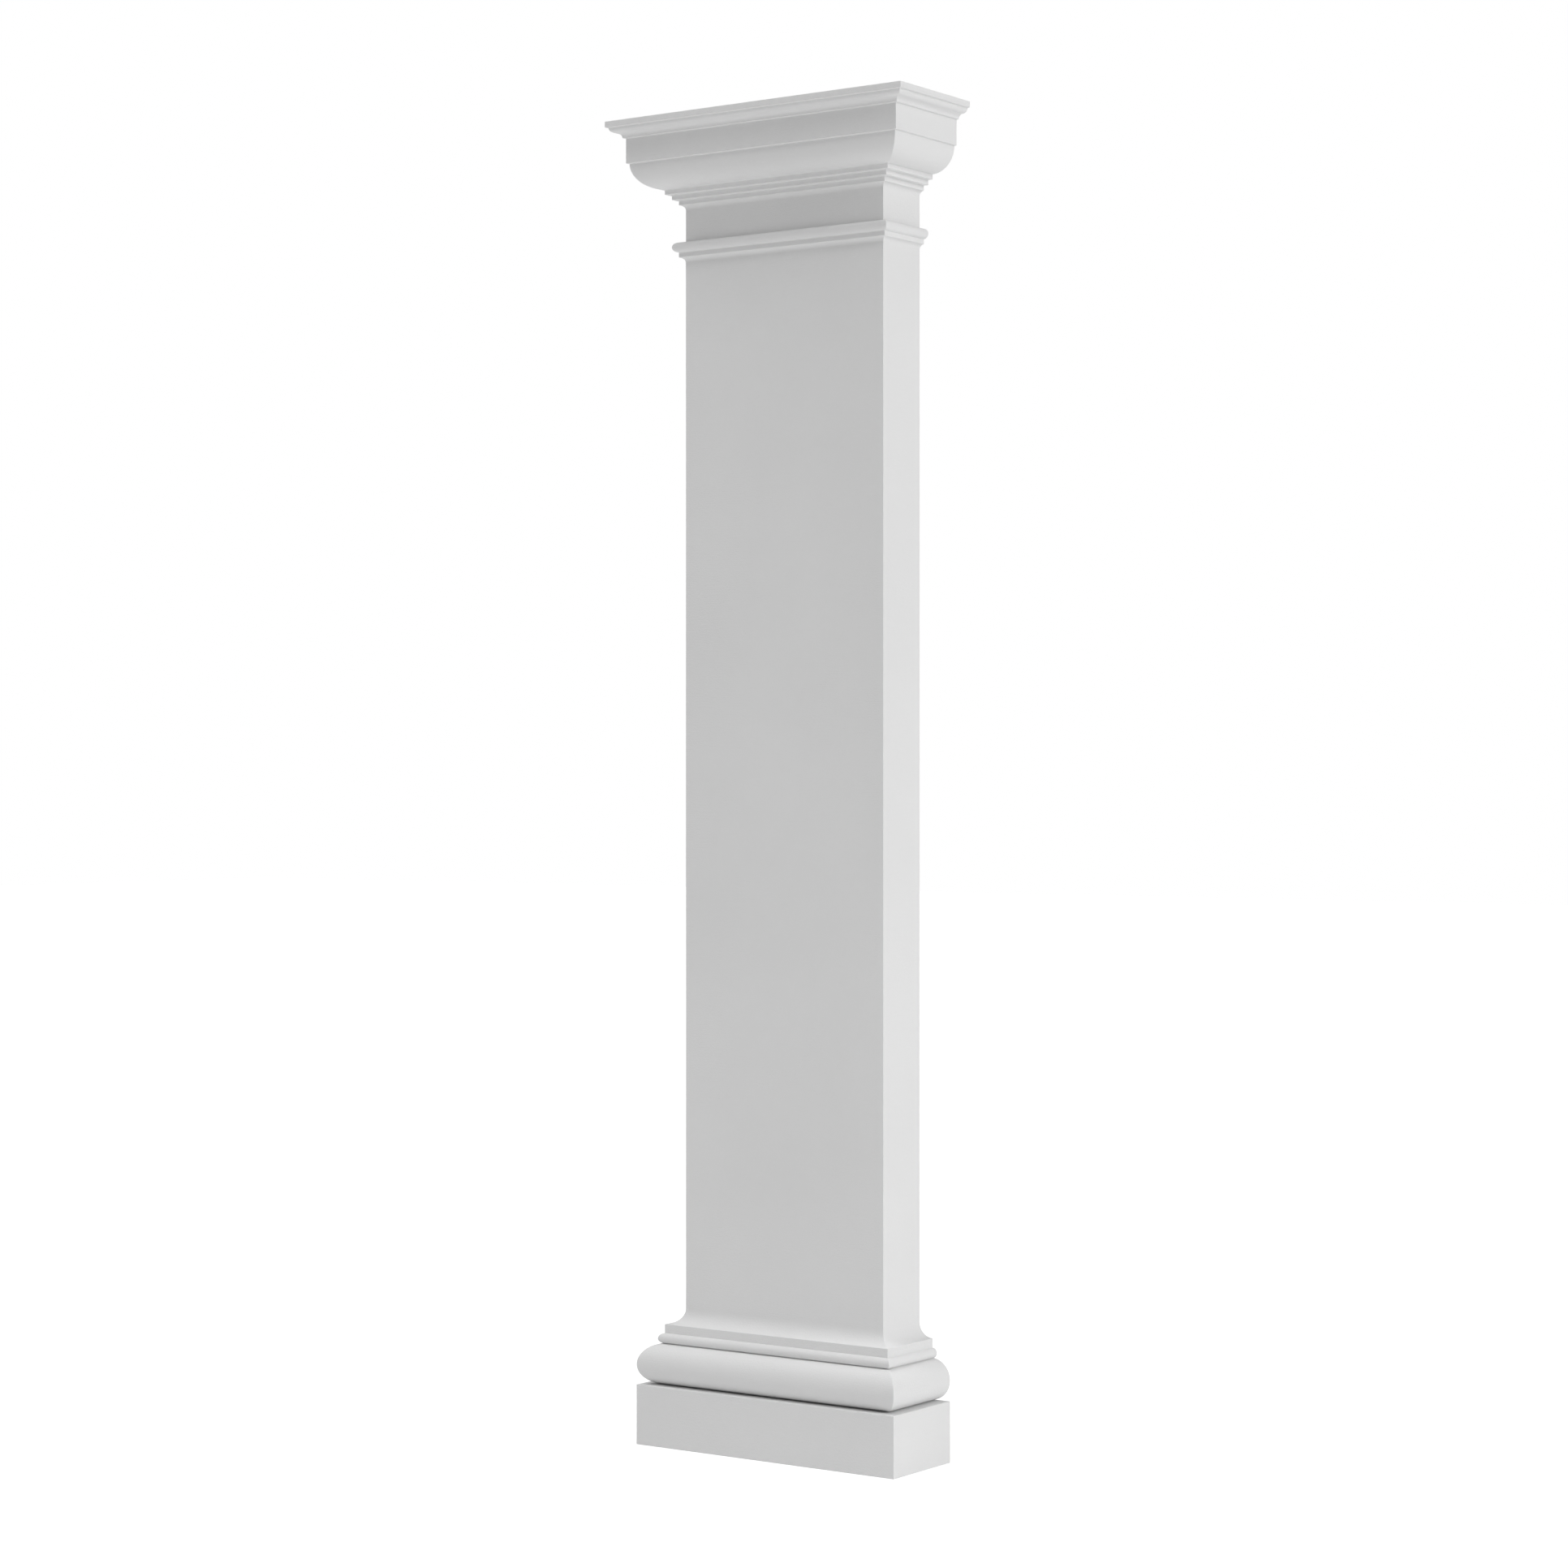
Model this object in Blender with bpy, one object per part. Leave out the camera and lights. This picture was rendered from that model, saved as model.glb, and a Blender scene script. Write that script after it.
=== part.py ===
# A plain Roman Doric pilaster: plinth, moulded base, shaft and moulded capital, each a separate casting.
# The mouldings run round the front and both sides, mitred at the corners. The back is one flat plane.
# Lengths are in metres, +Z is up, the front faces -Y, and the origin is at the middle of the underside.
import math

import bmesh
import bpy
from mathutils import Matrix

# Shaft
SHAFT_WIDTH = 0.472
SHAFT_DEPTH = 0.128
SHAFT_HEIGHT = 2.082

# Plinth and base
PLINTH_HEIGHT = 0.119
TORUS_RADIUS = 0.040
BASE_BEAD_RADIUS = 0.010
BASE_FILLET_HEIGHT = 0.018
APOPHYGE_RADIUS = 0.030

# Capital, from the shaft up
NECK_COVE_RADIUS = 0.010
NECK_FILLET_HEIGHT = 0.010
ASTRAGAL_RADIUS = 0.010
NECK_HEIGHT = 0.064
ANNULET_COVE_RADIUS = 0.010
ANNULET_COUNT = 3
ANNULET_HEIGHT = 0.010
ANNULET_STEP = 0.010
ECHINUS_RADIUS = 0.050
ABACUS_OVERHANG = 0.005
ABACUS_HEIGHT = 0.050
CYMA_STEP = 0.005
CYMA_RADIUS = 0.010
TOP_FILLET_STEP = 0.005
TOP_FILLET_HEIGHT = 0.012

# Thickness of the bed joint between one casting and the next
BED_JOINT = 0.0003

# The paint: its linear colour, and its roughness on the rolled flats and on the brushed mouldings
PAINT_WHITE = (0.80, 0.80, 0.80, 1.0)
ROLLED_ROUGHNESS = 0.62
BRUSHED_ROUGHNESS = 0.60

# Facets on a quarter of a circle, and how far an outline's extrusion runs past the piece it helps to cut
QUARTER_FACETS = 12
EXTRUSION_MARGIN = 0.05

# Points of a mesh closer than this are one point
WELD_DISTANCE = 1e-6

# The smallest angle between faces that stays a crisp edge
CRISP_ANGLE = math.radians(25)

# An outline is drawn flat: across, then up, with its thickness towards the viewer. These stand it upright,
# looking at the front (across is +X) or at the side (across is -Y, away from the wall).
FRONT_ELEVATION = Matrix(((1, 0, 0, 0), (0, 0, -1, 0), (0, 1, 0, 0), (0, 0, 0, 1)))
SIDE_ELEVATION = Matrix(((0, 0, -1, 0), (-1, 0, 0, 0), (0, 1, 0, 0), (0, 0, 0, 1)))

# The torus comes out flush with the face of the plinth
PLINTH_PROJECTION = APOPHYGE_RADIUS + TORUS_RADIUS


class Moulding:
    """A moulding's section, drawn upwards: each point is its projection from the shaft, and its height."""

    def __init__(self, projection=0.0):
        self.points = [(projection, 0.0)]

    def arc(self, centre, radius, start, end):
        """A round stretch about a centre, from one angle to another, in degrees."""
        facets = max(1, round(QUARTER_FACETS * abs(end - start) / 90))
        for step in range(1, facets + 1):
            angle = math.radians(start + (end - start) * step / facets)
            point = (centre[0] + radius * math.cos(angle), centre[1] + radius * math.sin(angle))
            self.points.append(point)

    def up(self, height):
        projection, level = self.points[-1]
        self.points.append((projection, level + height))

    def out(self, step):
        projection, level = self.points[-1]
        self.points.append((projection + step, level))

    def back_to_shaft(self):
        level = self.points[-1][1]
        self.points.append((0.0, level))

    def half_round(self, radius):
        """A torus, bead or astragal: it swells out and comes back to where it began."""
        projection, level = self.points[-1]
        self.arc((projection, level + radius), radius, -90, 90)

    def cove(self, radius):
        """A hollow that starts upright and ends level, further out."""
        projection, level = self.points[-1]
        self.arc((projection + radius, level), radius, 180, 90)

    def ovolo(self, radius):
        """A quarter-round that starts level and ends upright, further out."""
        projection, level = self.points[-1]
        self.arc((projection, level + radius), radius, -90, 0)

    def apophyge(self, radius):
        """A hollow that starts level and sweeps in and up until it is upright."""
        projection, level = self.points[-1]
        self.arc((projection, level + radius), radius, 270, 180)

    def height(self):
        return self.points[-1][1]

    def projection(self):
        return max(point[0] for point in self.points)


def base_moulding():
    section = Moulding(projection=APOPHYGE_RADIUS)
    section.half_round(TORUS_RADIUS)
    section.half_round(BASE_BEAD_RADIUS)
    section.up(BASE_FILLET_HEIGHT)
    section.apophyge(APOPHYGE_RADIUS)
    return section


def capital_moulding():
    section = Moulding()
    section.cove(NECK_COVE_RADIUS)
    section.up(NECK_FILLET_HEIGHT)
    section.half_round(ASTRAGAL_RADIUS)
    section.back_to_shaft()
    section.up(NECK_HEIGHT)
    section.cove(ANNULET_COVE_RADIUS)
    section.up(ANNULET_HEIGHT)
    for _ in range(ANNULET_COUNT - 1):
        section.out(ANNULET_STEP)
        section.up(ANNULET_HEIGHT)
    section.ovolo(ECHINUS_RADIUS)
    section.out(ABACUS_OVERHANG)
    section.up(ABACUS_HEIGHT)
    section.out(CYMA_STEP)
    section.cove(CYMA_RADIUS)
    section.ovolo(CYMA_RADIUS)
    section.out(TOP_FILLET_STEP)
    section.up(TOP_FILLET_HEIGHT)
    return section


BASE = base_moulding()
CAPITAL = capital_moulding()

# The origin is under the middle of the whole, so the wall plane lies half the full depth behind it
FULL_DEPTH = SHAFT_DEPTH + max(CAPITAL.projection(), BASE.projection(), PLINTH_PROJECTION)
WALL_PLANE = FULL_DEPTH / 2

# Each casting's underside, one bed joint above the casting below
BASE_LEVEL = PLINTH_HEIGHT + BED_JOINT
SHAFT_LEVEL = BASE_LEVEL + BASE.height() + BED_JOINT
CAPITAL_LEVEL = SHAFT_LEVEL + SHAFT_HEIGHT + BED_JOINT


def clear_scene():
    for item in list(bpy.data.objects):
        bpy.data.objects.remove(item, do_unlink=True)


def new_collection(name):
    collection = bpy.data.collections.new(name)
    bpy.context.scene.collection.children.link(collection)
    return collection


def painted_plaster(name, roughness):
    """White matt paint on cast plaster."""
    material = bpy.data.materials.new(name)
    material.use_nodes = True
    shader = material.node_tree.nodes["Principled BSDF"]
    shader.inputs["Base Color"].default_value = PAINT_WHITE
    shader.inputs["Roughness"].default_value = roughness
    shader.inputs["Metallic"].default_value = 0.0
    return material


def shade_crisp(mesh):
    mesh.shade_smooth()
    mesh.set_sharp_from_angle(angle=CRISP_ANGLE)


def block(name, projection, height, level, collection, material):
    """A plain block on the wall plane, with one projection from the front and the sides of the shaft."""
    width = SHAFT_WIDTH + 2 * projection
    depth = SHAFT_DEPTH + projection
    shape = bmesh.new()
    bmesh.ops.create_cube(shape, size=1.0)
    bmesh.ops.scale(shape, vec=(width, depth, height), verts=shape.verts)
    bmesh.ops.translate(shape, vec=(0.0, -depth / 2, height / 2), verts=shape.verts)
    mesh = bpy.data.meshes.new(name)
    shape.to_mesh(mesh)
    shape.free()
    shade_crisp(mesh)
    mesh.materials.append(material)
    piece = bpy.data.objects.new(name, mesh)
    piece.location = (0.0, WALL_PLANE, level)
    collection.objects.link(piece)
    return piece


def extruded_outline(name, outline, thickness, elevation, collection):
    """A closed flat outline given a thickness, stood upright and made a mesh with its caps welded on."""
    curve = bpy.data.curves.new(name, "CURVE")
    curve.dimensions = "2D"
    curve.fill_mode = "BOTH"
    curve.extrude = thickness / 2
    spline = curve.splines.new("POLY")
    spline.points.add(len(outline) - 1)
    for point, (across, height) in zip(spline.points, outline):
        point.co = (across, height, 0.0, 1.0)
    spline.use_cyclic_u = True
    drawing = bpy.data.objects.new(name, curve)
    collection.objects.link(drawing)
    bpy.context.view_layer.update()
    evaluated = drawing.evaluated_get(bpy.context.evaluated_depsgraph_get())
    mesh = bpy.data.meshes.new_from_object(evaluated)
    bpy.data.objects.remove(drawing, do_unlink=True)
    shape = bmesh.new()
    shape.from_mesh(mesh)
    bmesh.ops.remove_doubles(shape, verts=shape.verts, dist=WELD_DISTANCE)
    bmesh.ops.transform(shape, matrix=elevation, verts=shape.verts)
    bmesh.ops.recalc_face_normals(shape, faces=shape.faces)
    shape.to_mesh(mesh)
    shape.free()
    shade_crisp(mesh)
    extrusion = bpy.data.objects.new(name, mesh)
    collection.objects.link(extrusion)
    return extrusion


def moulded(name, section, level, pieces, cutters, material):
    """A casting with its section round three sides: what its extruded front and side elevations share."""
    half_width = SHAFT_WIDTH / 2
    right = [(half_width + projection, height) for projection, height in section.points]
    left = [(-across, height) for across, height in reversed(right)]
    front_outline = right + left
    side_outline = [(SHAFT_DEPTH + projection, height) for projection, height in section.points]
    side_outline += [(0.0, section.height()), (0.0, 0.0)]

    reach = SHAFT_DEPTH + section.projection() + EXTRUSION_MARGIN
    piece = extruded_outline(name, front_outline, 2 * reach, FRONT_ELEVATION, pieces)
    piece.location = (0.0, WALL_PLANE, level)
    piece.data.materials.append(material)

    width = SHAFT_WIDTH + 2 * section.projection() + 2 * EXTRUSION_MARGIN
    side = extruded_outline(name + "_side_elevation", side_outline, width, SIDE_ELEVATION, cutters)
    side.location = piece.location
    side.hide_render = True
    side.display_type = "WIRE"

    # Level faces of the two extrusions share planes, and only the self mode closes them without gaps
    mitre = piece.modifiers.new("mitre", "BOOLEAN")
    mitre.operation = "INTERSECT"
    mitre.solver = "EXACT"
    mitre.use_self = True
    mitre.object = side
    return piece


def build():
    clear_scene()
    pieces = new_collection("pilaster")
    cutters = new_collection("pilaster_cutters")
    plinth_paint = painted_plaster("plinth_paint", ROLLED_ROUGHNESS)
    base_paint = painted_plaster("base_paint", BRUSHED_ROUGHNESS)
    shaft_paint = painted_plaster("shaft_paint", ROLLED_ROUGHNESS)
    capital_paint = painted_plaster("capital_paint", BRUSHED_ROUGHNESS)
    block("plinth", PLINTH_PROJECTION, PLINTH_HEIGHT, 0.0, pieces, plinth_paint)
    moulded("base", BASE, BASE_LEVEL, pieces, cutters, base_paint)
    block("shaft", 0.0, SHAFT_HEIGHT, SHAFT_LEVEL, pieces, shaft_paint)
    moulded("capital", CAPITAL, CAPITAL_LEVEL, pieces, cutters, capital_paint)


build()
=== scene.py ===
# A white Roman Doric pilaster: four painted plaster castings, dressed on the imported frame.
# Sizes in the dictionaries are in millimetres unless their name or note says otherwise.
import math

import bmesh
import bpy
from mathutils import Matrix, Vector, noise


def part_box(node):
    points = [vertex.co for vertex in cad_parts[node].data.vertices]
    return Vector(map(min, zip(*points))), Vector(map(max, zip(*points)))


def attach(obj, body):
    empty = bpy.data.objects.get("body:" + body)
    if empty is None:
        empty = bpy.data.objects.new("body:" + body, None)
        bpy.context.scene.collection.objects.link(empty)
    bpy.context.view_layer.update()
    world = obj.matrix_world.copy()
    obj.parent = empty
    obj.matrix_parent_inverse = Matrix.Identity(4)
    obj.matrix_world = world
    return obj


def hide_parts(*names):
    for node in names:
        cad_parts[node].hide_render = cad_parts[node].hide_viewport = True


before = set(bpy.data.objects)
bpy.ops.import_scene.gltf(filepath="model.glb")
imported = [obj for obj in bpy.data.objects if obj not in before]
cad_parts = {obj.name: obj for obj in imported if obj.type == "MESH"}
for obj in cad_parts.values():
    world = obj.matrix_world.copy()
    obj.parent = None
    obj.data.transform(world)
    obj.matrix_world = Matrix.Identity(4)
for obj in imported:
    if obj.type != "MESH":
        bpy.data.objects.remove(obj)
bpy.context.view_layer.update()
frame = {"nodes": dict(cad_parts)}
mm = 0.001
print("frame loaded:", ", ".join(frame["nodes"]))

# How a casting comes out of the mould and takes its paint
castWork = {
    "arris": 0.9,  # radius of an outer edge after three coats
    "innerCorner": 0.7,  # paint lying in an inner corner
    "groove": 2.2,  # how far out paint closes the groove between two rounds
    "wallEdge": 0.5,  # radius of the edge against the wall
    "bedEdge": 0.8,  # how far the back's edge at a bed is broken away
    "support": 1.4,  # from a rounded edge to the next row, which keeps the flats flat
    "edgeTurn": 20.0,  # degrees of turn that count as an edge or an inner corner
    "grooveTurn": 150.0,  # degrees of turn that count as a groove
    "bridge": 0.85,  # how much of a groove's narrow end the paint closes
    "edgeSteps": 5,
    "quarterSteps": 12,  # in a quarter of a round, and a few more on a larger one
    "quarterStepsPerMm": 0.6,
    "crispAngle": 35.0,  # degrees between two faces that stay a crisp line
    "closestRows": 0.18,  # a plain row nearer than this to one of an edge's is left out
    "rowSpacing": 32.0,
    "frontColumns": 16,
    "sideColumns": 5,
    "dip": 0.35,  # how far a face rubbed down by hand dips below true
    "dipLength": 340.0,
    "settle": 14.0,  # it is true again this near a bed or the wall
}

# Where a round's centre lies from its start, in radii, and the angles that it runs between
rounds = {
    "halfRound": (0, 1, -90, 90),  # torus, bead, astragal
    "cove": (1, 0, 180, 90),  # hollow, upright at its foot
    "ovolo": (0, 1, -90, 0),  # quarter-round, level at its foot
    "apophyge": (0, 1, 270, 180),  # hollow that sweeps in until it is upright
}


def drawSection(moves, start=0.0):
    # A moulding's section, drawn upwards: points (how far out from the shaft's face, how high)
    points = [(start, 0.0)]
    for move, size in moves:
        out, height = points[-1]
        if move == "up":
            points.append((out, height + size))
        elif move == "out":
            points.append((out + size, height))
        elif move == "backTo":
            points.append((size, height))
        else:
            outward, upward, begin, end = rounds[move]
            perQuarter = castWork["quarterSteps"] + castWork["quarterStepsPerMm"] * size
            steps = round(abs(end - begin) / 90 * perQuarter)
            for step in range(1, steps + 1):
                angle = math.radians(begin + (end - begin) * step / steps)
                across = out + size * (outward + math.cos(angle))
                points.append((across, height + size * (upward + math.sin(angle))))
    return points


def measured(points):
    # The distance along a line of points to each of them
    lengths = [0.0]
    for a, b in zip(points, points[1:]):
        lengths.append(lengths[-1] + math.dist(a, b))
    return lengths


def pointAlong(points, lengths, distance):
    # The point at a distance along a line of points
    k = 1
    while k < len(points) - 1 and lengths[k] < distance:
        k += 1
    share = (distance - lengths[k - 1]) / (lengths[k] - lengths[k - 1])
    return tuple(a + (b - a) * share for a, b in zip(points[k - 1], points[k]))


def turnAt(points, k):
    # Degrees that a section turns through at a point: above zero at an outer edge, below at an inner corner
    before = math.atan2(points[k][1] - points[k - 1][1], points[k][0] - points[k - 1][0])
    after = math.atan2(points[k + 1][1] - points[k][1], points[k + 1][0] - points[k][0])
    return math.degrees((after - before + math.pi) % (2 * math.pi) - math.pi)


def easeEdges(points):
    # Rounds every edge, inner corner and groove of a section, and sets a row of support on each side of it
    lengths = measured(points)
    rows = dict(zip(lengths, points))
    kept = {lengths[0], lengths[-1]}
    for k in range(1, len(points) - 1):
        turn = turnAt(points, k)
        if abs(turn) < castWork["edgeTurn"]:
            continue
        groove = abs(turn) > castWork["grooveTurn"]
        reach = castWork["groove" if groove else "arris" if turn > 0 else "innerCorner"]
        corner, middle = points[k], lengths[k]
        foot = pointAlong(points, lengths, middle - reach)
        head = pointAlong(points, lengths, middle + reach)
        if groove:
            # Paint bridges the narrow end of a groove instead of running down to its root
            bridge = castWork["bridge"]
            corner = tuple((a + b) / 2 * bridge + c * (1 - bridge) for a, b, c in zip(foot, head, corner))
        rows = {length: point for length, point in rows.items() if abs(length - middle) >= reach}
        for step in range(castWork["edgeSteps"] + 1):
            u = step / castWork["edgeSteps"]
            ends = zip(foot, head, corner)
            bend = tuple((1 - u) ** 2 * a + 2 * u * (1 - u) * c + u * u * b for a, b, c in ends)
            rows[middle + reach * (2 * u - 1)] = bend
            kept.add(middle + reach * (2 * u - 1))
        for side in (-1, 1):
            support = middle + side * (reach + castWork["support"])
            rows[support] = pointAlong(points, lengths, support)
    # A row that all but meets one of these is left out
    return [rows[length] for length in sorted(rows)
            if length in kept or min(abs(length - other) for other in kept) > castWork["closestRows"]]


def addRows(points):
    # Divides plain stretches, so that their faces can dip a little
    divided = points[:1]
    for a, b in zip(points, points[1:]):
        parts = math.ceil(math.dist(a, b) / castWork["rowSpacing"])
        divided += [tuple(p + (q - p) * k / parts for p, q in zip(a, b)) for k in range(1, parts + 1)]
    return divided


def planAt(halfWidth, depth, setBack):
    # One row of a casting, from its back round the left side, the front and the right side to its back again:
    # points (x, y), y counted from the wall, with the back set back from it. Every row has as many points.
    wall, arris, gap = castWork["wallEdge"], castWork["arris"], castWork["support"]
    row = []

    def turnRound(x, y, radius, begin):
        for step in range(castWork["edgeSteps"] + 1):
            angle = math.radians(begin + 90 * step / castWork["edgeSteps"])
            row.append((x + radius * math.cos(angle), y + radius * math.sin(angle)))

    def runTo(x, y, columns):
        start = Vector(row[-1])
        inset = (Vector((x, y)) - start).normalized() * gap
        for k in range(columns + 1):
            row.append(tuple((start + inset).lerp(Vector((x, y)) - inset, k / columns)))

    turnRound(-halfWidth + wall, -setBack - wall, wall, 90)
    runTo(-halfWidth, -depth + arris, castWork["sideColumns"])
    turnRound(-halfWidth + arris, -depth + arris, arris, 180)
    runTo(halfWidth - arris, -depth, castWork["frontColumns"])
    turnRound(halfWidth - arris, -depth + arris, arris, 270)
    runTo(halfWidth, -setBack - wall, castWork["sideColumns"])
    turnRound(halfWidth - wall, -setBack - wall, wall, 0)
    return row


def dipFaces(shape, foot, head, wallPlane):
    # Faces rubbed down by hand dip slightly, never above true, and are true again at the beds and the wall
    for vert in shape.verts:
        margin = min(vert.co.z - foot, head - vert.co.z, wallPlane - vert.co.y) / (castWork["settle"] * mm)
        ease = min(max(margin, 0.0), 1.0)
        wave = 0.5 + 0.5 * noise.noise(vert.co / (castWork["dipLength"] * mm))
        depth = castWork["dip"] * mm * min(max(wave, 0.0), 1.0) * ease * ease * (3 - 2 * ease)
        vert.co -= vert.normal * depth


def buildCasting(name, node, section, foot, footBorder=0.0, headBorder=0.0):
    # Sweeps a section round the three sides and closes its two beds and its back. A bed with a border shows,
    # so its edge is eased, and a head that shows is painted. The other beds meet the next casting.
    height = section[-1][1]
    head = foot + height * mm
    if footBorder:
        section = [(section[0][0] - footBorder, section[0][1])] + section
    if headBorder:
        section = section + [(section[-1][0] - headBorder, section[-1][1])]
    section = addRows(easeEdges(section))
    edge = castWork["bedEdge"]
    footRow = next(k for k in range(len(section)) if section[k][1] >= edge)
    headRow = next(k for k in reversed(range(len(section))) if height - section[k][1] >= edge)
    footReach, headReach = section[footRow][1], height - section[headRow][1]
    shape = bmesh.new()
    runMap = shape.loops.layers.uv.new("run")  # metres along the moulding, metres across it
    rows, alongRow = [], []
    for out, level in section:
        setBack = edge * max(0.0, 1 - level / footReach, 1 - (height - level) / headReach)
        plan = planAt(shaft["halfWidth"] + out, shaft["depth"] + out, setBack)
        spots = [(x * mm, shaft["wallPlane"] + y * mm, foot + level * mm) for x, y in plan]
        rows.append([shape.verts.new(spot) for spot in spots])
        lengths = measured(plan)
        alongRow.append([length - lengths[-1] / 2 for length in lengths])
    across = measured(section)
    for i in range(len(rows) - 1):
        for j in range(len(rows[0]) - 1):
            corners = ((i, j), (i, j + 1), (i + 1, j + 1), (i + 1, j))
            face = shape.faces.new([rows[a][b] for a, b in corners])
            face.smooth = True
            for loop, (a, b) in zip(face.loops, corners):
                loop[runMap].uv = (alongRow[a][b] * mm, across[a] * mm)
    painted, leftBare = 0, 1  # places in finishes
    closings = [(rows[0][::-1], leftBare), (rows[-1], painted if headBorder else leftBare)]
    for first, last in ((0, footRow), (footRow, headRow), (headRow, len(rows) - 1)):
        band = rows[first:last + 1]
        closings.append(([row[0] for row in band] + [row[-1] for row in reversed(band)], leftBare))
    for outline, finish in closings:
        face = shape.faces.new(outline)
        face.material_index = finish
        for loop in face.loops:
            loop[runMap].uv = (loop.vert.co.x, loop.vert.co.y + loop.vert.co.z)
    shape.normal_update()
    dipFaces(shape, foot, head, shaft["wallPlane"])
    mesh = bpy.data.meshes.new(name)
    shape.to_mesh(mesh)
    shape.free()
    for material in finishes:
        mesh.materials.append(material)
    mesh.set_sharp_from_angle(angle=math.radians(castWork["crispAngle"]))
    piece = bpy.data.objects.new(name, mesh)
    bpy.context.scene.collection.objects.link(piece)
    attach(piece, "root")
    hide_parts(node)
    print("cast", name, "with", len(mesh.polygons), "faces")


def toLinear(code):
    # An sRGB hex colour as linear light
    channels = [int(code[k:k + 2], 16) / 255 for k in (1, 3, 5)]
    return tuple(c / 12.92 if c <= 0.04045 else ((c + 0.055) / 1.055) ** 2.4 for c in channels) + (1.0,)


def scaleOf(size):
    # The texture scale at which a pattern is this many millimetres across
    return 1000 / size


def addNode(tree, kind, settings=None, links=None):
    # settings holds properties and input values, links holds {input: (node, output)}
    node = tree.nodes.new(kind)
    for key, value in (settings or {}).items():
        if isinstance(key, str) and hasattr(node, key):
            setattr(node, key, value)
        else:
            node.inputs[key].default_value = value
    for key, (source, output) in (links or {}).items():
        tree.links.new(source.outputs[output], node.inputs[key])
    return node


# Paint: matt white emulsion

emulsion = {
    "full": "#E9E9E9",  # throws back about four fifths of the light
    "thin": "#E6E6E6",  # where the coat is thinner
    "patch": 380.0,  # across a patch of thinner paint
    "ior": 1.5,
    "roughest": 0.70,
    "smoothest": 0.58,  # along a bristle mark
    "bristle": 1.3,  # between bristle marks
    "stroke": 70.0,  # the length of one
    "bristleDepth": 0.22,
    "stipple": 3.0,  # a short-pile roller leaves bumps 1.5 mm apart, drawn twice as coarse to show
    "stippleDepth": 0.45,  # over the whole range of the noise, of which it uses about a third
}


def emulsionOnPlaster():
    # Matt emulsion, brushed along the mouldings and rolled: a soft white without shine. Its marks show only
    # close to.
    material = bpy.data.materials.new("matt emulsion on cast plaster")
    material.use_nodes = True
    tree = material.node_tree
    tree.nodes.clear()
    place = addNode(tree, "ShaderNodeTexCoord")
    cloud = addNode(tree, "ShaderNodeTexNoise",
                    {"Scale": scaleOf(emulsion["patch"]), "Detail": 3.0, "Roughness": 0.45},
                    {"Vector": (place, "Object")})
    patches = addNode(tree, "ShaderNodeMapRange",
                      {"From Min": 0.35, "From Max": 0.65},
                      {"Value": (cloud, "Fac")})
    colour = addNode(tree, "ShaderNodeMix",
                     {"data_type": "RGBA", 6: toLinear(emulsion["thin"]), 7: toLinear(emulsion["full"])},
                     {0: (patches, "Result")})
    run = addNode(tree, "ShaderNodeUVMap", {"uv_map": "run"})
    strokes = addNode(tree, "ShaderNodeMapping",
                      {"Scale": (scaleOf(emulsion["stroke"]), scaleOf(emulsion["bristle"]), 1.0)},
                      {"Vector": (run, "UV")})
    bristles = addNode(tree, "ShaderNodeTexNoise",
                       {"Scale": 1.0, "Detail": 2.0},
                       {"Vector": (strokes, "Vector")})
    stipple = addNode(tree, "ShaderNodeTexNoise",
                      {"Scale": scaleOf(emulsion["stipple"]), "Detail": 2.0},
                      {"Vector": (place, "Object")})
    sheen = addNode(tree, "ShaderNodeMapRange",
                    {"To Min": emulsion["smoothest"], "To Max": emulsion["roughest"]},
                    {"Value": (bristles, "Fac")})
    brushed = addNode(tree, "ShaderNodeBump",
                      {"Distance": emulsion["bristleDepth"] * mm},
                      {"Height": (bristles, "Fac")})
    rolled = addNode(tree, "ShaderNodeBump",
                     {"Distance": emulsion["stippleDepth"] * mm},
                     {"Height": (stipple, "Fac"), "Normal": (brushed, "Normal")})
    shader = addNode(tree, "ShaderNodeBsdfPrincipled",
                     {"IOR": emulsion["ior"], "Metallic": 0.0},
                     {"Base Color": (colour, 2), "Roughness": (sheen, "Result"),
                      "Normal": (rolled, "Normal")})
    addNode(tree, "ShaderNodeOutputMaterial", None, {"Surface": (shader, "BSDF")})
    return material


# Backs and beds: cast plaster struck off level with a board and left bare

bare = {
    "dry": "#F0EDE6",  # gypsum plaster dries a warm off-white
    "stained": "#E6E2DA",  # where mould oil and damp have stayed in it
    "stain": 90.0,  # across one stain
    "ior": 1.5,
    "roughness": 0.88,  # open and chalky, so nothing glints
    "tooth": 7.0,  # a strike-off board leaves drag marks 3 mm apart, drawn twice as coarse to show
    "drag": 260.0,  # the length of one
    "dragDepth": 1.1,
    "grain": 1.6,
    "grainDepth": 0.12,
    "airHole": 20.0,  # between bubbles in the cast, of which the board opens one in six
    "airHoleShare": 0.09,  # a hole's radius as a share of that distance
    "airHoleFloor": 0.6,  # how much of a hole is its level floor
    "airHoleDepth": 1.4,
    # Painted shade: the floor of each air hole is coloured darker to stand in for the shade deep in it
    "airHolePaintedShade": "#C2BEB5",  # deep in a hole, where little light comes
}


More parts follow.
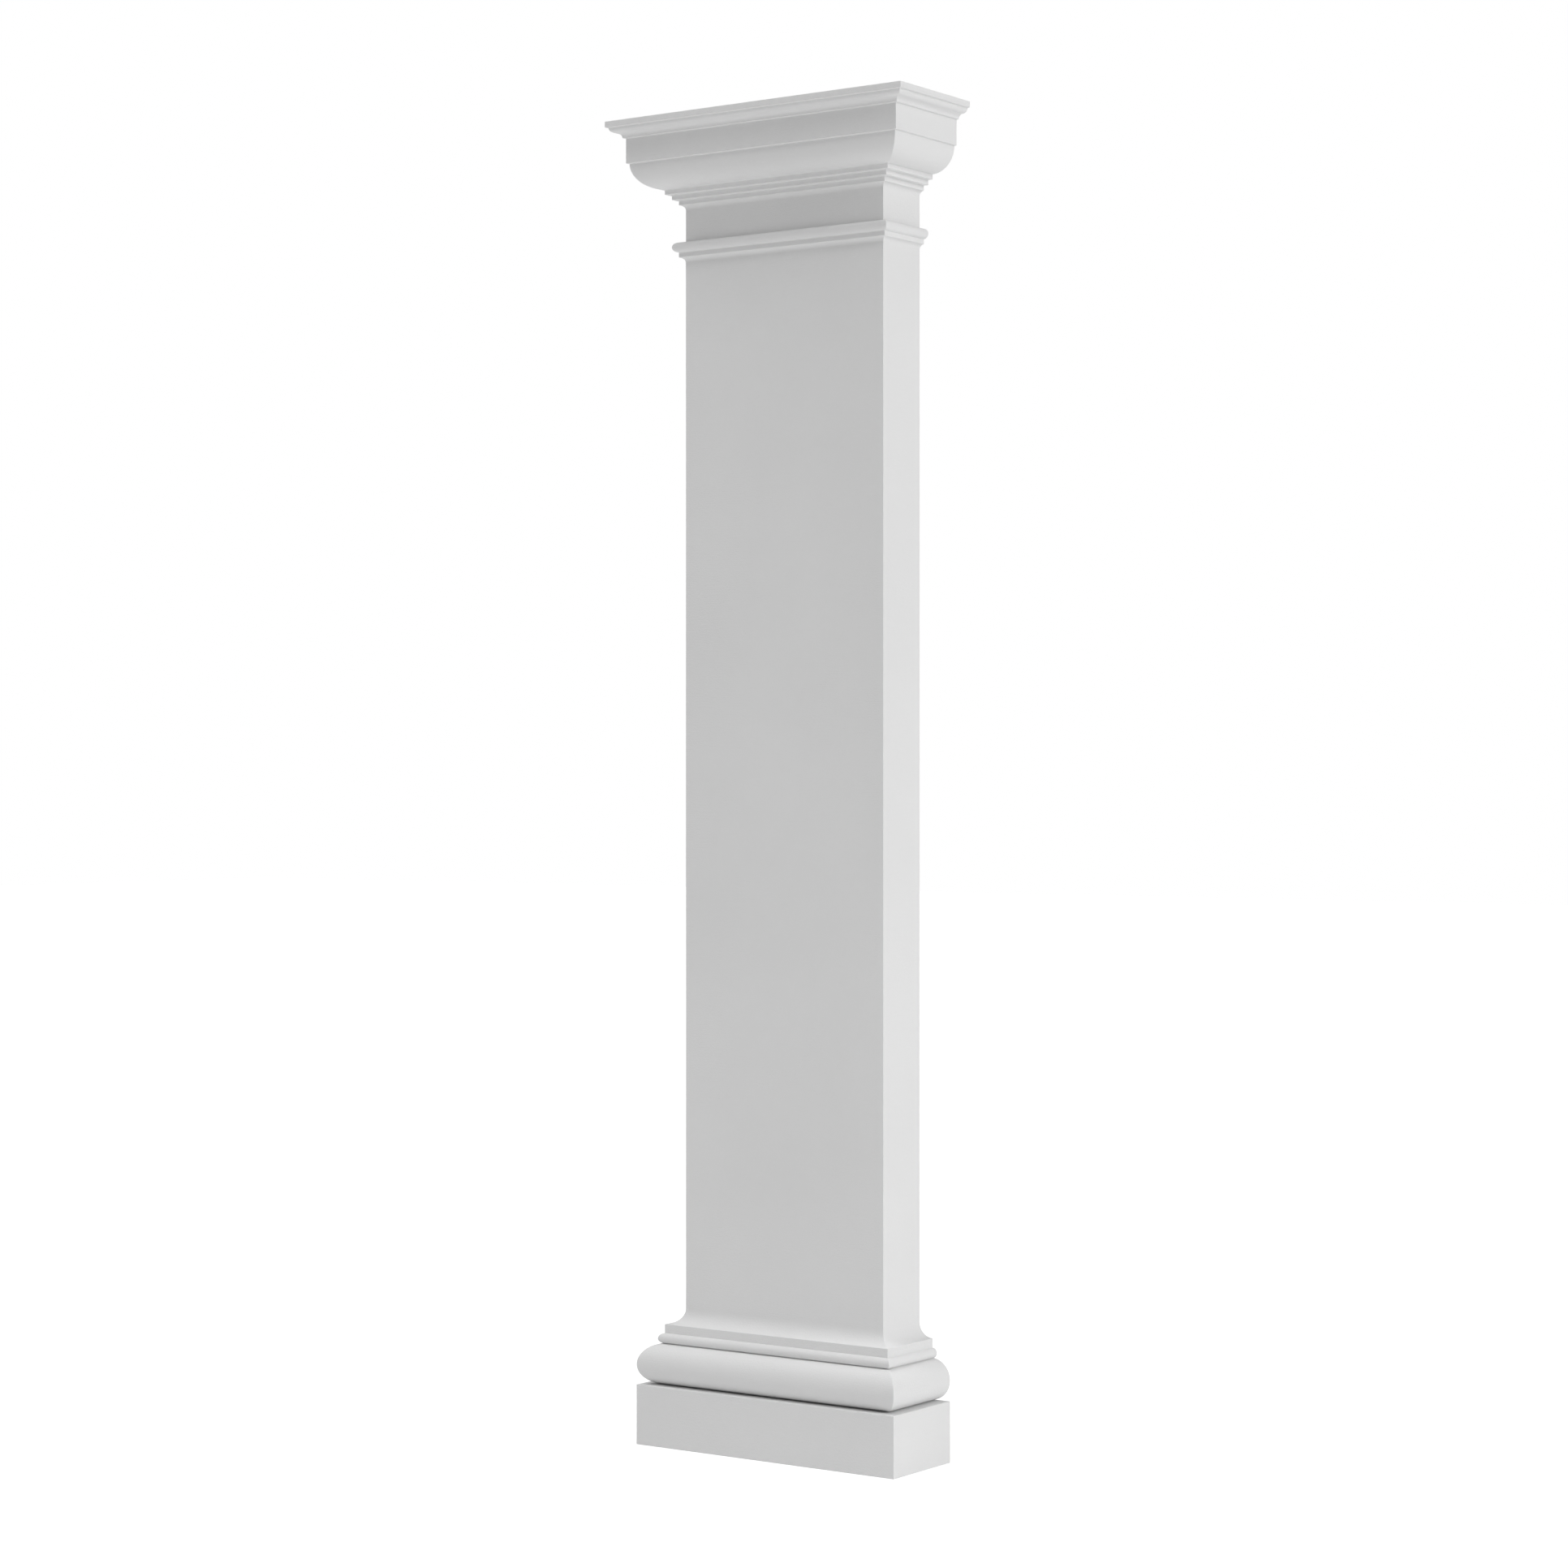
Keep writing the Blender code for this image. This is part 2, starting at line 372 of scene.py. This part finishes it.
def barePlaster():
    # Warmer, chalkier and rougher than the painted faces, with drag marks across it and a few air holes
    material = bpy.data.materials.new("bare struck-off plaster")
    material.use_nodes = True
    tree = material.node_tree
    tree.nodes.clear()
    place = addNode(tree, "ShaderNodeTexCoord")
    cloud = addNode(tree, "ShaderNodeTexNoise",
                    {"Scale": scaleOf(bare["stain"]), "Detail": 5.0, "Roughness": 0.6},
                    {"Vector": (place, "Object")})
    stains = addNode(tree, "ShaderNodeMapRange",
                     {"From Min": 0.3, "From Max": 0.7},
                     {"Value": (cloud, "Fac")})
    colour = addNode(tree, "ShaderNodeMix",
                     {"data_type": "RGBA", 6: toLinear(bare["stained"]), 7: toLinear(bare["dry"])},
                     {0: (stains, "Result")})
    strokes = addNode(tree, "ShaderNodeMapping",
                      {"Scale": (scaleOf(bare["drag"]), scaleOf(bare["tooth"]), scaleOf(bare["tooth"]))},
                      {"Vector": (place, "Object")})
    drag = addNode(tree, "ShaderNodeTexNoise",
                   {"Scale": 1.0, "Detail": 3.0},
                   {"Vector": (strokes, "Vector")})
    grain = addNode(tree, "ShaderNodeTexNoise",
                    {"Scale": scaleOf(bare["grain"]), "Detail": 3.0},
                    {"Vector": (place, "Object")})
    cells = addNode(tree, "ShaderNodeTexVoronoi",
                    {"Scale": scaleOf(bare["airHole"])},
                    {"Vector": (place, "Object")})
    holes = addNode(tree, "ShaderNodeMapRange",
                    {"From Min": bare["airHoleShare"] * bare["airHoleFloor"],
                     "From Max": bare["airHoleShare"]},
                    {"Value": (cells, "Distance")})
    # Painted shade: inside an air hole the plaster's colour gives way to the darker painted shade
    holesWithPaintedShade = addNode(tree, "ShaderNodeMix",
                     {"data_type": "RGBA", 6: toLinear(bare["airHolePaintedShade"])},
                     {0: (holes, "Result"), 7: (colour, 2)})
    dragged = addNode(tree, "ShaderNodeBump",
                      {"Distance": bare["dragDepth"] * mm},
                      {"Height": (drag, "Fac")})
    grained = addNode(tree, "ShaderNodeBump",
                      {"Distance": bare["grainDepth"] * mm},
                      {"Height": (grain, "Fac"), "Normal": (dragged, "Normal")})
    pitted = addNode(tree, "ShaderNodeBump",
                     {"Distance": bare["airHoleDepth"] * mm},
                     {"Height": (holes, "Result"), "Normal": (grained, "Normal")})
    shader = addNode(tree, "ShaderNodeBsdfPrincipled",
                     {"Roughness": bare["roughness"], "IOR": bare["ior"], "Metallic": 0.0},
                     {"Base Color": (holesWithPaintedShade, 2), "Normal": (pitted, "Normal")})
    addNode(tree, "ShaderNodeOutputMaterial", None, {"Surface": (shader, "BSDF")})
    return material


finishes = (emulsionOnPlaster(), barePlaster())  # on every casting: its painted faces, its bare ones
print("materials mixed")

plinthLow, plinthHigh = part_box("plinth")
baseLow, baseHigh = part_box("base")
shaftLow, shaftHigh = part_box("shaft")
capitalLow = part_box("capital")[0]

# Shaft: a plain pier. Its casting runs from the base's head to the capital's foot, over filled bed joints.

shaft = {
    "halfWidth": (shaftHigh.x - shaftLow.x) / 2 / mm,
    "depth": (shaftHigh.y - shaftLow.y) / mm,
    "height": (capitalLow.z - baseHigh.z) / mm,
    "wallPlane": shaftHigh.y,  # metres
}

shaftMoves = [("up", castWork["bedEdge"]), ("up", shaft["height"] - 2 * castWork["bedEdge"]),
              ("up", castWork["bedEdge"])]
buildCasting("shaftCasting", "shaft", drawSection(shaftMoves), baseHigh.z)

# Plinth: a plain block under the base, eased on every edge

plinth = {
    "out": (plinthHigh.x - plinthLow.x) / 2 / mm - shaft["halfWidth"],
    "height": (plinthHigh.z - plinthLow.z) / mm,
    "border": 5.0,  # how far the eased edge runs in on its underside and its head
}

buildCasting("plinthCasting", "plinth", drawSection([("up", plinth["height"])], plinth["out"]), plinthLow.z,
             footBorder=plinth["border"], headBorder=plinth["border"])

# Base: torus, bead and fillet, and the apophyge that sweeps in to the shaft

base = {
    "torus": 40.0,
    "bead": 10.0,
    "fillet": 18.0,
    "apophyge": 30.0,
}

baseMoves = [("halfRound", base["torus"]), ("halfRound", base["bead"]), ("up", base["fillet"]),
             ("apophyge", base["apophyge"])]
buildCasting("baseCasting", "base", drawSection(baseMoves, base["apophyge"]), baseLow.z)

# Capital: astragal, neck, three annulets, echinus, abacus, cyma and top fillet

capital = {
    "cove": 10.0,
    "fillet": 10.0,
    "astragal": 10.0,
    "neck": 64.0,
    "annulets": 3,
    "annulet": 10.0,  # the height of one, and its step out from the one below
    "echinus": 50.0,
    "overhang": 5.0,  # abacus over echinus, cyma over abacus and top fillet over cyma
    "abacus": 50.0,
    "cyma": 10.0,  # both of its quarter-rounds
    "topFillet": 12.0,
    "border": 5.0,
}

capitalMoves = [("cove", capital["cove"]), ("up", capital["fillet"]), ("halfRound", capital["astragal"]),
                ("backTo", 0.0), ("up", capital["neck"]), ("cove", capital["cove"]),
                ("up", capital["annulet"])]
capitalMoves += [("out", capital["annulet"]), ("up", capital["annulet"])] * (capital["annulets"] - 1)
capitalMoves += [("ovolo", capital["echinus"]), ("out", capital["overhang"]), ("up", capital["abacus"]),
                 ("out", capital["overhang"]), ("cove", capital["cyma"]), ("ovolo", capital["cyma"]),
                 ("out", capital["overhang"]), ("up", capital["topFillet"])]
buildCasting("capitalCasting", "capital", drawSection(capitalMoves), capitalLow.z,
             headBorder=capital["border"])

# Studio: a pale, faintly glowing floor in a soft white tent of light with three brighter panels

studio = {
    "floorSize": 60000.0,
    "floor": "#BEBEBE",
    "floorGlow": 0.36,  # with what the floor throws back, it fills the soffits from below
    "floorLift": 0.32,  # more where it is seen, so that it meets the white of the tent
    "fill": 0.12,  # light from every side
    "panels": {  # degrees round from the front to the right, degrees up, degrees wide, strength
        "overhead": (0, 90, 66, 1.2),
        "right": (90, 20, 25, 6.7),
        "upperLeft": (-45, 60, 25, 4.7),
    },
}


def softTent():
    world = bpy.data.worlds.new("softTent")
    bpy.context.scene.world = world
    world.use_nodes = True
    tree = world.node_tree
    tree.nodes.clear()
    sight = addNode(tree, "ShaderNodeTexCoord")
    # The fill, to which each panel adds
    total = addNode(tree, "ShaderNodeMath", {"operation": "ADD", 0: studio["fill"], 1: 0.0})
    for around, up, width, strength in studio["panels"].values():
        around, up = math.radians(around), math.radians(up)
        level = math.cos(up)
        towards = Vector((math.sin(around) * level, -math.cos(around) * level, math.sin(up)))
        # A panel fades outwards, and is half as strong at the edge of its width
        narrowness = math.log(0.5) / math.log(math.cos(math.radians(width / 2)))
        facing = addNode(tree, "ShaderNodeVectorMath",
                         {"operation": "DOT_PRODUCT", 1: towards},
                         {0: (sight, "Generated")})
        ahead = addNode(tree, "ShaderNodeMath", {"operation": "MAXIMUM", 1: 0.0}, {0: (facing, "Value")})
        panel = addNode(tree, "ShaderNodeMath", {"operation": "POWER", 1: narrowness}, {0: (ahead, 0)})
        total = addNode(tree, "ShaderNodeMath",
                        {"operation": "MULTIPLY_ADD", 1: strength},
                        {0: (panel, 0), 2: (total, 0)})
    white = toLinear("#FFFFFF")
    lit = addNode(tree, "ShaderNodeBackground", {"Color": white}, {"Strength": (total, 0)})
    seen = addNode(tree, "ShaderNodeBackground", {"Color": white})
    path = addNode(tree, "ShaderNodeLightPath")
    either = addNode(tree, "ShaderNodeMixShader", None,
                     {0: (path, "Is Camera Ray"), 1: (lit, 0), 2: (seen, 0)})
    addNode(tree, "ShaderNodeOutputWorld", None, {"Surface": (either, 0)})


def paleFloor():
    material = bpy.data.materials.new("pale studio floor")
    material.use_nodes = True
    tree = material.node_tree
    tree.nodes.clear()
    matt = addNode(tree, "ShaderNodeBsdfDiffuse", {"Color": toLinear(studio["floor"])})
    path = addNode(tree, "ShaderNodeLightPath")
    strength = addNode(tree, "ShaderNodeMath",
                       {"operation": "MULTIPLY_ADD", 1: studio["floorLift"], 2: studio["floorGlow"]},
                       {0: (path, "Is Camera Ray")})
    glow = addNode(tree, "ShaderNodeEmission", None, {"Strength": (strength, 0)})
    both = addNode(tree, "ShaderNodeAddShader", None, {0: (matt, 0), 1: (glow, 0)})
    addNode(tree, "ShaderNodeOutputMaterial", None, {"Surface": (both, 0)})
    mesh = bpy.data.meshes.new("studioFloor")
    reach = studio["floorSize"] / 2 * mm
    corners = [(-reach, -reach, 0), (reach, -reach, 0), (reach, reach, 0), (-reach, reach, 0)]
    mesh.from_pydata(corners, [], [(0, 1, 2, 3)])
    mesh.materials.append(material)
    floor = bpy.data.objects.new("studioFloor", mesh)
    bpy.context.scene.collection.objects.link(floor)


softTent()
paleFloor()
print("studio lit")

# Camera: level, at the height of a low eye, to the right of the front

view = {
    "place": (3930.8, -5578.1, 1311.8),
    "tilt": 90.0,  # degrees up from looking straight down, so the view is level
    "turn": 35.179,  # degrees round from facing the front
    "lens": 80.163,
    "film": 36.0,
}

cameraData = bpy.data.cameras.new("photoCamera")
cameraData.lens = view["lens"]
cameraData.sensor_width = view["film"]
camera = bpy.data.objects.new("photoCamera", cameraData)
camera.location = Vector(view["place"]) * mm
camera.rotation_euler = (math.radians(view["tilt"]), 0, math.radians(view["turn"]))
bpy.context.scene.collection.objects.link(camera)
bpy.context.scene.camera = camera
bpy.context.scene.view_settings.view_transform = "Standard"
print("camera set")
